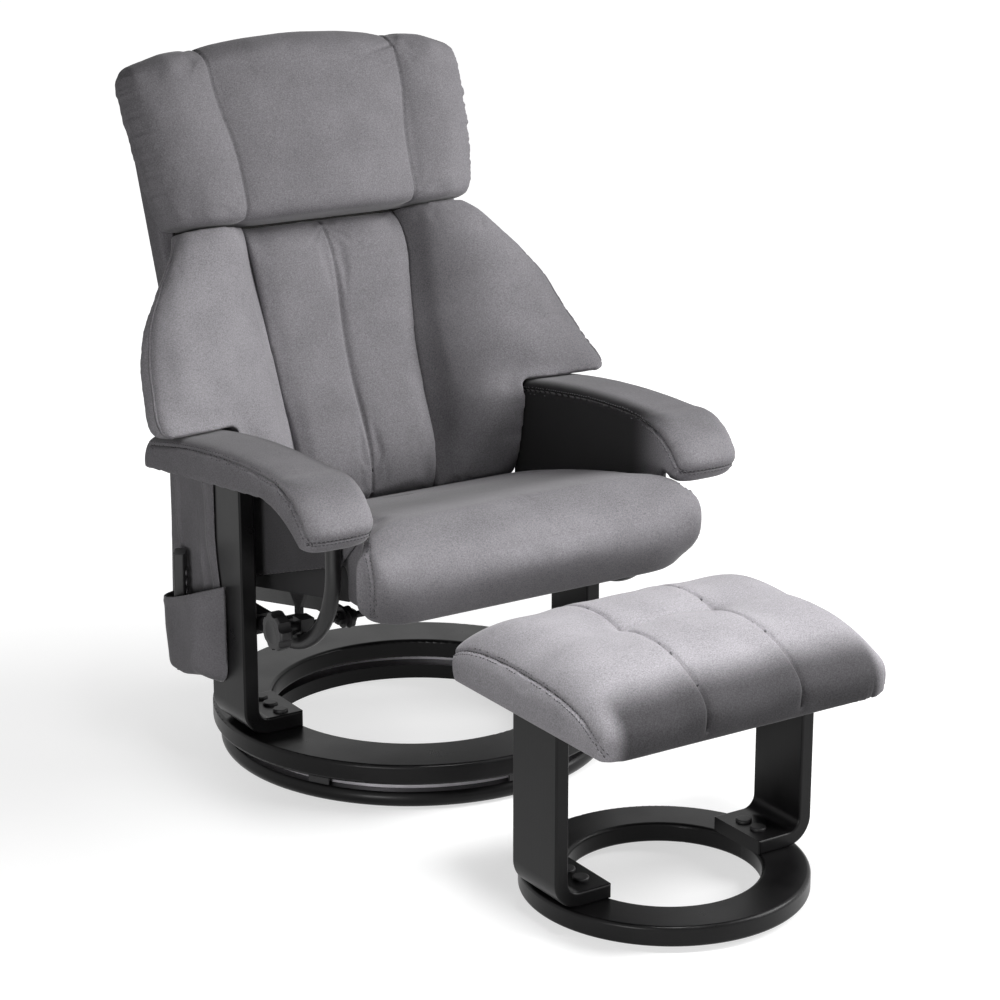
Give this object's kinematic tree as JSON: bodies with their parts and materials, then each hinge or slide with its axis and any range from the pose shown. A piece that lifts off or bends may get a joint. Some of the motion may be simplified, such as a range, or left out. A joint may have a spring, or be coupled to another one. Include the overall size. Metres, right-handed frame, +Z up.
{
  "type": "swivel recliner with footstool",
  "caption": "Reclining swivel armchair with winged padded back and headrest on a round black base, side pocket with handset, and a matching tufted footstool.",
  "frame": {"origin": "on the floor, on the swivel axis, at the centre of the base ring", "axes": "+Z up, the sitter faces -Y, +X is the sitter's left"},
  "size_m": [0.7618, 1.2531, 1.0211],
  "materials": {
    "rubber": "matt",
    "black_wood": "black satin lacquer",
    "bearing_steel": "zinc plated",
    "black_plastic": "fine grain",
    "black_steel": "black powder coat",
    "plain_board": "raw plywood",
    "dust_cover": "black cloth over board",
    "grey_velvet": "short pile velvet",
    "pocket_cloth": "short pile velvet",
    "handset_plastic": "fine grain",
    "circuit_board": "lacquered",
    "button_plastic": "soft touch"
  },
  "bodies": {
    "floor_base": {"floor_pad": "rubber", "floor_ring": "black_wood", "glide_blocks": "black_plastic", "lower_race": "bearing_steel"},
    "ball_ring": {"bearing_balls": "bearing_steel", "ball_cage": "bearing_steel"},
    "chair": {"upper_race": "bearing_steel", "turntable_ring": "black_wood", "leg_bolt_caps": "black_plastic", "seat_base": "dust_cover", "seat_cushion": "grey_velvet", "seat_motors": "black_plastic", "control_box": "black_plastic", "hinge_pins": "black_steel", "clamp_block": "black_steel", "side_pocket": "pocket_cloth", "leg_left": "black_wood", "leg_right": "black_wood", "arm_pad_left": "grey_velvet", "arm_pad_right": "grey_velvet", "arm_board_left": "plain_board", "arm_board_right": "plain_board", "side_tube_left": "black_steel", "side_tube_right": "black_steel", "tube_saddle_left": "black_steel", "tube_saddle_right": "black_steel", "seat_post_left": "black_steel", "seat_post_right": "black_steel", "seat_hinge_plate_left": "black_steel", "seat_hinge_plate_right": "black_steel"},
    "back": {"back_board": "plain_board", "back_shell": "grey_velvet", "back_cushion": "grey_velvet", "back_motors": "black_plastic", "headrest": "grey_velvet", "crank_pin": "black_steel", "back_hinge_arm_left": "black_steel", "back_hinge_arm_right": "black_steel", "wing_left": "grey_velvet", "wing_right": "grey_velvet"},
    "strut": {"recline_strut": "black_steel"},
    "knob": {"knob": "black_plastic", "clamp_rod": "black_steel", "clamp_washers": "black_steel", "clamp_nuts": "black_steel"},
    "handset": {"handset_case": "handset_plastic", "handset_board": "circuit_board"},
    "footstool": {"stool_ring": "black_wood", "stool_glides": "rubber", "stool_bolt_caps": "black_plastic", "stool_board": "plain_board", "stool_cushion": "grey_velvet", "stool_leg_left": "black_wood", "stool_leg_right": "black_wood"},
    "button_1": {"handset_button_1": "button_plastic"},
    "button_2": {"handset_button_2": "button_plastic"},
    "button_3": {"handset_button_3": "button_plastic"},
    "button_4": {"handset_button_4": "button_plastic"},
    "button_5": {"handset_button_5": "button_plastic"},
    "button_6": {"handset_button_6": "button_plastic"}
  },
  "joints": [
    {"name": "swivel", "type": "hinge", "parent": "floor_base", "child": "chair", "pos_m": [0, 0, 0], "axis": [0, 0, 1], "continuous": true},
    {"name": "ball_orbit", "type": "hinge", "parent": "floor_base", "child": "ball_ring", "pos_m": [0, 0, 0], "axis": [0, 0, 1], "continuous": true},
    {"name": "recline", "type": "hinge", "parent": "chair", "child": "back", "pos_m": [0, 0.17, 0.29], "axis": [-1, 0, 0], "range_deg": [0, 30]},
    {"name": "strut_pivot", "type": "hinge", "parent": "back", "child": "strut", "pos_m": [0, 0.19071, 0.21273], "axis": [-1, 0, 0], "range_deg": [-30, 0]},
    {"name": "knob_turn", "type": "hinge", "parent": "chair", "child": "knob", "pos_m": [-0.3, -0.136, 0.265], "axis": [-1, 0, 0], "continuous": true},
    {"name": "handset_lift", "type": "slide", "parent": "chair", "child": "handset", "axis": [0, 0, 1], "range_m": [0, 0.1]},
    {"name": "footstool_place", "type": "slide", "parent": "floor_base", "child": "footstool", "axis": [0, -1, 0], "range_m": [0, 0.3]},
    {"name": "button_press_1", "type": "slide", "parent": "handset", "child": "button_1", "axis": [-0.8387, 0.5446, 0], "range_m": [0, 0.0012], "stiffness_N_per_m": 400},
    {"name": "button_press_2", "type": "slide", "parent": "handset", "child": "button_2", "axis": [-0.8387, 0.5446, 0], "range_m": [0, 0.0012], "stiffness_N_per_m": 400},
    {"name": "button_press_3", "type": "slide", "parent": "handset", "child": "button_3", "axis": [-0.8387, 0.5446, 0], "range_m": [0, 0.0012], "stiffness_N_per_m": 400},
    {"name": "button_press_4", "type": "slide", "parent": "handset", "child": "button_4", "axis": [-0.8387, 0.5446, 0], "range_m": [0, 0.0012], "stiffness_N_per_m": 400},
    {"name": "button_press_5", "type": "slide", "parent": "handset", "child": "button_5", "axis": [-0.8387, 0.5446, 0], "range_m": [0, 0.0012], "stiffness_N_per_m": 400},
    {"name": "button_press_6", "type": "slide", "parent": "handset", "child": "button_6", "axis": [-0.8387, 0.5446, 0], "range_m": [0, 0.0012], "stiffness_N_per_m": 400}
  ],
  "couplings": [
    {"joint": "ball_orbit", "follows": "swivel", "ratio": 0.5},
    {"joint": "strut_pivot", "follows": "recline", "ratio": -1}
  ]
}
